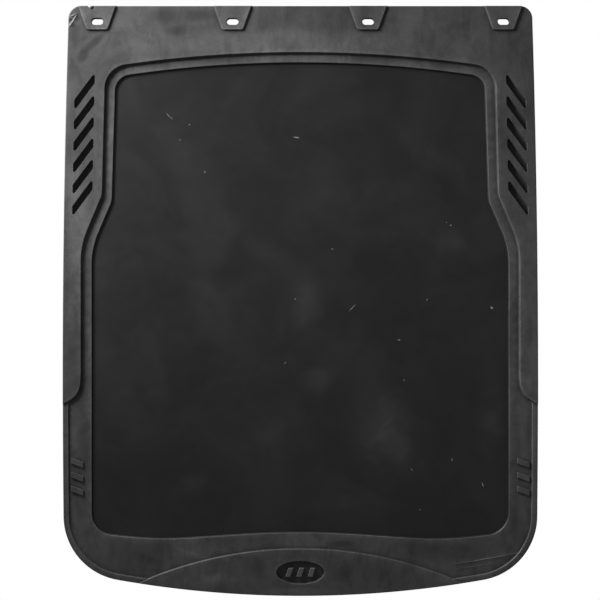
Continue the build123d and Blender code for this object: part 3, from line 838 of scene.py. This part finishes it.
# lint and nicks on the panel: middle, half-length, half-width, slant, strength
LINT = [(-180.8, -127.5, 5.0, 0.7, -52, 0.42), (-176.5, -131, 3.4, 0.6, -60, 0.34), (-152, -140, 1.4, 1.0, 0, 0.4),
        (-165, -161, 1.6, 1.1, 20, 0.35), (-5.5, -157.6, 4.8, 0.8, -8, 0.8), (-131, -205, 1.8, 1.3, 0, 0.35),
        (43.5, -310.5, 1.6, 1.0, 0, 0.45), (-7, -379, 1.2, 1.0, 0, 0.5), (71, -391, 7.5, 0.7, 46, 0.5),
        (135, -435, 2.3, 1.0, -12, 0.6), (206, -278, 1.4, 1.3, 0, 0.5), (200, -274, 1.0, 0.8, 0, 0.4),
        (262, -391, 2.2, 1.4, -40, 1.0), (173.5, -380, 1.4, 1.2, 0, 0.4), (-21, -466.5, 2.6, 0.8, 50, 0.4),
        (142, -490, 1.5, 1.1, 0, 0.45), (207.5, -599, 1.1, 2.4, 0, 0.45), (152.5, -612.5, 3.0, 0.7, -55, 0.4),
        (249.7, -633, 3.6, 0.7, -68, 0.9), (163.6, -667.5, 1.5, 1.2, 0, 0.3)]


def panel_rubber(name):
    """The polished mould face of the centre panel: darker and smoother, with hazy wiping, hairline scratches and lint."""
    t = Tree(name)
    cloud = t.span(t.noise(9.0, 5.0, 0.6, 0.6), 0.34, 0.70)
    haze = t.span(t.noise(34.0, 5.0, 0.65, 0.8), 0.40, 0.74)
    fine = t.noise(520.0, 2.0, 0.5)
    tone = t.math("MULTIPLY_ADD", cloud, 0.0022, 0.0046)
    tone = t.math("MULTIPLY_ADD", haze, 0.0020, tone)
    tone = t.math("MULTIPLY", tone, t.span(fine, 0.3, 0.7, 0.90, 1.10, False))
    # lighter smears and darker areas; the three broad ones, darker over the top and lighter lower down and to the
    # right, are painted shade and painted light that even out how the lamps fall
    tone = patches(t, tone, [(-249, -425, 68, 175, 12, 0.22, 0.34), (112, -560, 46, 66, 8, 1.0, 0.95), (136, -590, 16, 26, 0, 0.9, 0.30),
                             (8, -385, 26, 60, 0, 1.0, 0.60), (22, -487, 30, 22, 0, 1.0, 0.60), (205, -302, 26, 20, 0, 1.0, 0.60),
                             (262, -545, 24, 80, 0, 1.0, 0.70), (108, -338, 62, 52, 40, 1.0, -0.24), (-178, -100, 74, 62, 60, 0.4, 0.22),
                             (-216, -512, 12, 44, 28, 0.8, -0.30), (30, -75, 20, 44, 0, 1.0, 0.22), (-140, -630, 26, 16, 30, 1.0, 0.30),
                             (-60, -60, 320, 150, 0, 1.0, -0.42), (0, -690, 320, 330, 0, 1.0, 0.22), (250, -330, 90, 170, 0, 1.0, 0.20),
                             (-70, -300, 90, 26, -35, 1.0, 0.16), (60, -230, 100, 22, 12, 1.0, 0.14), (-110, -390, 30, 70, 14, 1.0, 0.14),
                             (175, -180, 60, 24, -28, 1.0, 0.14), (-60, -560, 70, 30, 20, 1.0, 0.16)])
    # painted shade along the wall feet and a painted highlight along their upper edges
    tone = paint_wall_shade_and_highlight(t, tone, 0.4, 0.2)
    lines = scratches(t, 63, 1100, 7, 0.735, (1.3, 0.2, 0))
    lines = t.math("MAXIMUM", lines, scratches(t, -38, 900, 9, 0.745, (4.3, 2.2, 0)))
    lines = t.math("MAXIMUM", lines, scratches(t, 12, 1000, 8, 0.75, (7.7, 5.2, 0)))
    lint = t.math("MULTIPLY", specks(t, 46.0, 0.04, 0.16, (0.7, 0.9, 0)), 0.10)
    light = t.math("MAXIMUM", t.math("MULTIPLY", lines, 0.04), t.math("MULTIPLY", lint, 0.6))
    smear = 0.0
    for x, z, rx, rz, turn, strength in SMEARS:
        smear = t.math("ADD", smear, t.math("MULTIPLY", t.near(x, z, rx * 1.3, rz * 1.3, turn, 1.0), strength * 1.8))
    blot = t.span(t.noise(26.0, 4.0, 0.62, 0.6), 0.36, 0.66, 0.35, 1.35)
    light = t.math("ADD", light, t.math("MULTIPLY", smear, blot))
    for x, z, rx, rz, turn, strength in LINT:
        light = t.math("MAXIMUM", light, t.math("MULTIPLY", t.near(x, z, rx * 1.2, rz * 1.2, turn, 0.8), strength))
    t.link(t.mix(light, t.grey(tone), 0.30), t.bsdf.inputs["Base Color"])
    t.link(t.math("MULTIPLY_ADD", cloud, 0.08, 0.45), t.bsdf.inputs["Roughness"])
    t.bsdf.inputs["Specular IOR Level"].default_value = 0.48
    n = t.bump(t.noise(22.0, 3.0, 0.5), 0.0003, 0.5)
    n = t.bump(fine, 0.00005, 0.6, n)
    t.link(n, t.bsdf.inputs["Normal"])
    return t.mat


def pocket_rubber_painted_shade(name):
    """The rubber inside the vents and slots, made dull and nearly black as painted shade in these recesses."""
    t = Tree(name)
    t.link(t.grey(t.math("MULTIPLY_ADD", t.noise(240.0, 3.0, 0.6), 0.022, 0.016)), t.bsdf.inputs["Base Color"])
    t.bsdf.inputs["Roughness"].default_value = 0.55
    t.bsdf.inputs["Specular IOR Level"].default_value = 0.22
    t.link(t.bump(t.noise(430.0, 3.0, 0.6), 0.00008, 0.7), t.bsdf.inputs["Normal"])
    return t.mat


BORDER = rubber("rubber_border")
SHEET = panel_rubber("rubber_panel")
POCKET_SHADE = pocket_rubber_painted_shade("rubber_pocket_painted_shade")
PAD_FACE = rubber("rubber_pad", lift=1.2)
# the toe marks' rubber is twice as light: a painted highlight on their raised tops
TOE_MARK_HIGHLIT = rubber("rubber_mark_toe_painted_highlight", rest=False, lift=2.0)
SIDE_MARK = rubber("rubber_mark_side", rest=False, lift=1.15)


def dress(obj):
    """The panel's face gets the polished finish, the vents and the slots' sides the dull near-black one, which paints
    their shade, the pads a lighter matt one, and everything else the matt one."""
    obj.data.materials.append(BORDER)
    obj.data.materials.append(SHEET)
    obj.data.materials.append(POCKET_SHADE)
    obj.data.materials.append(PAD_FACE)
    me = obj.data
    n = len(me.polygons)
    c = np.zeros(n * 3)
    me.polygons.foreach_get("center", c)
    c = c.reshape(-1, 3) * 1000
    face = c[:, 1] < -BACKING + 0.45
    idx = np.zeros(n, int)
    near = np.where(face)[0]
    at = c[near][:, [0, 2]]
    idx[near[signed(at, PANEL) > -W_LEDGE * 0.1]] = 1
    # the vents' floors and lower walls are painted near black as shade
    near = np.where((c[:, 1] < -BACKING + 0.45) & (np.abs(c[:, 0]) > 270) & (c[:, 2] > -290))[0]
    at = c[near][:, [0, 2]]
    for v in VENTS:
        idx[near[signed(at, v, 3) > W_VENT * 0.45]] = 2
    near = np.where((c[:, 1] < -BACKING) & (c[:, 2] > -16))[0]
    at = c[near][:, [0, 2]]
    for v in PADS:
        idx[near[signed(at, v, 3) > -W_PAD * 0.1]] = 3
    # the slots' sides are painted near black as shade
    near = np.where(c[:, 2] > -10)[0]
    at = c[near][:, [0, 2]]
    for v in SLOTS:
        idx[near[signed(at, v, 3) > -0.12]] = 2
    me.polygons.foreach_set("material_index", idx)


for o in (upper, lower):
    dress(o)

MARKS = ["toe_mark_bar_1", "toe_mark_bar_2", "toe_mark_bar_3", "side_mark_left", "side_mark_right"]
for name in MARKS:
    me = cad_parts[name].data
    me.materials.clear()
    me.materials.append(TOE_MARK_HIGHLIT if name.startswith("toe") else SIDE_MARK)

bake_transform(upper)
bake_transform(lower)
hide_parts("clamp_strip", "pad_outer_left", "pad_inner_left", "pad_inner_right", "pad_outer_right", "upper_backing",
            "upper_ledge_top", "upper_ledge_left", "upper_ledge_right", "yoke_bridge", "yoke_arm_left", "yoke_arm_right")
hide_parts("lower_backing", "lower_ledge_foot", "lower_ledge_left", "lower_ledge_right", "edge_bead_left",
            "edge_bead_right", "toe_plate")


# =====================================================================================================================
# Floor, light and camera
# =====================================================================================================================
def floor():
    me = bpy.data.meshes.new("floor")
    x, y0, y1, z = 5.0, -7.0, 1.5, -1.05
    me.from_pydata([(-x, y0, z), (x, y0, z), (x, y1, z), (-x, y1, z)], [], [(0, 1, 2, 3)])
    o = bpy.data.objects.new("floor", me)
    bpy.context.scene.collection.objects.link(o)
    m = bpy.data.materials.new("floor_pale")
    m.use_nodes = True
    tree = m.node_tree
    b = tree.nodes["Principled BSDF"]
    b.inputs["Base Color"].default_value = (0.62, 0.62, 0.61, 1)
    b.inputs["Roughness"].default_value = 0.8
    b.inputs["Specular IOR Level"].default_value = 0.1
    # the floor glows by its own emission, weakly under the flap and more towards its edges, so that it runs out to
    # white like a sweep of paper
    at = tree.nodes.new("ShaderNodeMapping")
    at.vector_type = "TEXTURE"
    at.inputs["Location"].default_value = (0, -1.1, z)
    at.inputs["Scale"].default_value = (3.4, 2.5, 1)
    tree.links.new(tree.nodes.new("ShaderNodeTexCoord").outputs["Object"], at.inputs["Vector"])
    far = tree.nodes.new("ShaderNodeVectorMath")
    far.operation = "LENGTH"
    tree.links.new(at.outputs[0], far.inputs[0])
    floor_glow = tree.nodes.new("ShaderNodeMapRange")
    floor_glow.interpolation_type = "SMOOTHSTEP"
    for name, v in (("From Min", 0.25), ("From Max", 1.0), ("To Min", 0.16), ("To Max", 1.0)):
        floor_glow.inputs[name].default_value = v
    tree.links.new(far.outputs["Value"], floor_glow.inputs["Value"])
    b.inputs["Emission Color"].default_value = (1, 1, 1, 1)
    tree.links.new(floor_glow.outputs["Result"], b.inputs["Emission Strength"])
    me.materials.append(m)
    o.visible_diffuse = False
    o.visible_glossy = False


floor()


def area(name, at, to, size, power):
    light = bpy.data.lights.new(name, "AREA")
    light.shape = "DISK"
    light.size = size
    light.energy = power
    o = bpy.data.objects.new(name, light)
    o.location = at
    o.rotation_euler = (Vector(to) - Vector(at)).to_track_quat("-Z", "Y").to_euler()
    o.visible_camera = False
    bpy.context.scene.collection.objects.link(o)
    return o


def spot(name, at, to, half_angle, radius, power):
    light = bpy.data.lights.new(name, "SPOT")
    light.spot_size = math.radians(2 * half_angle)
    light.spot_blend = 1.0
    light.shadow_soft_size = radius
    light.energy = power
    o = bpy.data.objects.new(name, light)
    o.location = at
    o.rotation_euler = (Vector(to) - Vector(at)).to_track_quat("-Z", "Y").to_euler()
    bpy.context.scene.collection.objects.link(o)
    return o


area("key", (-1.0, -0.42, 0.75), (-0.2, 0.0, -0.1), 0.6, 41.7)
spot("key_pool", (-2.47, -1.09, 1.217), (-0.45, 0.0, 0.03), 8.0, 0.32, 850.0)
area("back", (0.9, 1.9, 0.5), (0.0, 0.0, -0.35), 1.2, 14.0)

world = bpy.data.worlds.new("studio")
bpy.context.scene.world = world
world.use_nodes = True
nt = world.node_tree
nt.nodes.clear()
w_out = nt.nodes.new("ShaderNodeOutputWorld")
w_mix = nt.nodes.new("ShaderNodeMixShader")
w_ray = nt.nodes.new("ShaderNodeLightPath")
w_fill = nt.nodes.new("ShaderNodeBackground")
w_white = nt.nodes.new("ShaderNodeBackground")
w_fill.inputs["Color"].default_value = (0.204, 0.204, 0.204, 1)
w_white.inputs["Color"].default_value = (1, 1, 1, 1)
nt.links.new(w_ray.outputs["Is Camera Ray"], w_mix.inputs[0])
nt.links.new(w_fill.outputs[0], w_mix.inputs[1])
nt.links.new(w_white.outputs[0], w_mix.inputs[2])
nt.links.new(w_mix.outputs[0], w_out.inputs["Surface"])

bpy.context.scene.view_settings.view_transform = "Standard"
bpy.context.scene.view_settings.look = "None"

cam = bpy.data.cameras.new("camera")
cam.sensor_width = 36.0
cam.lens = 113.75
cam.clip_start, cam.clip_end = 0.05, 60.0
eye = bpy.data.objects.new("camera", cam)
eye.location = (-0.00055, -2.6, -0.3803)
eye.rotation_euler = (math.radians(90), 0, 0)
bpy.context.scene.collection.objects.link(eye)
bpy.context.scene.camera = eye

bpy.context.view_layer.update()
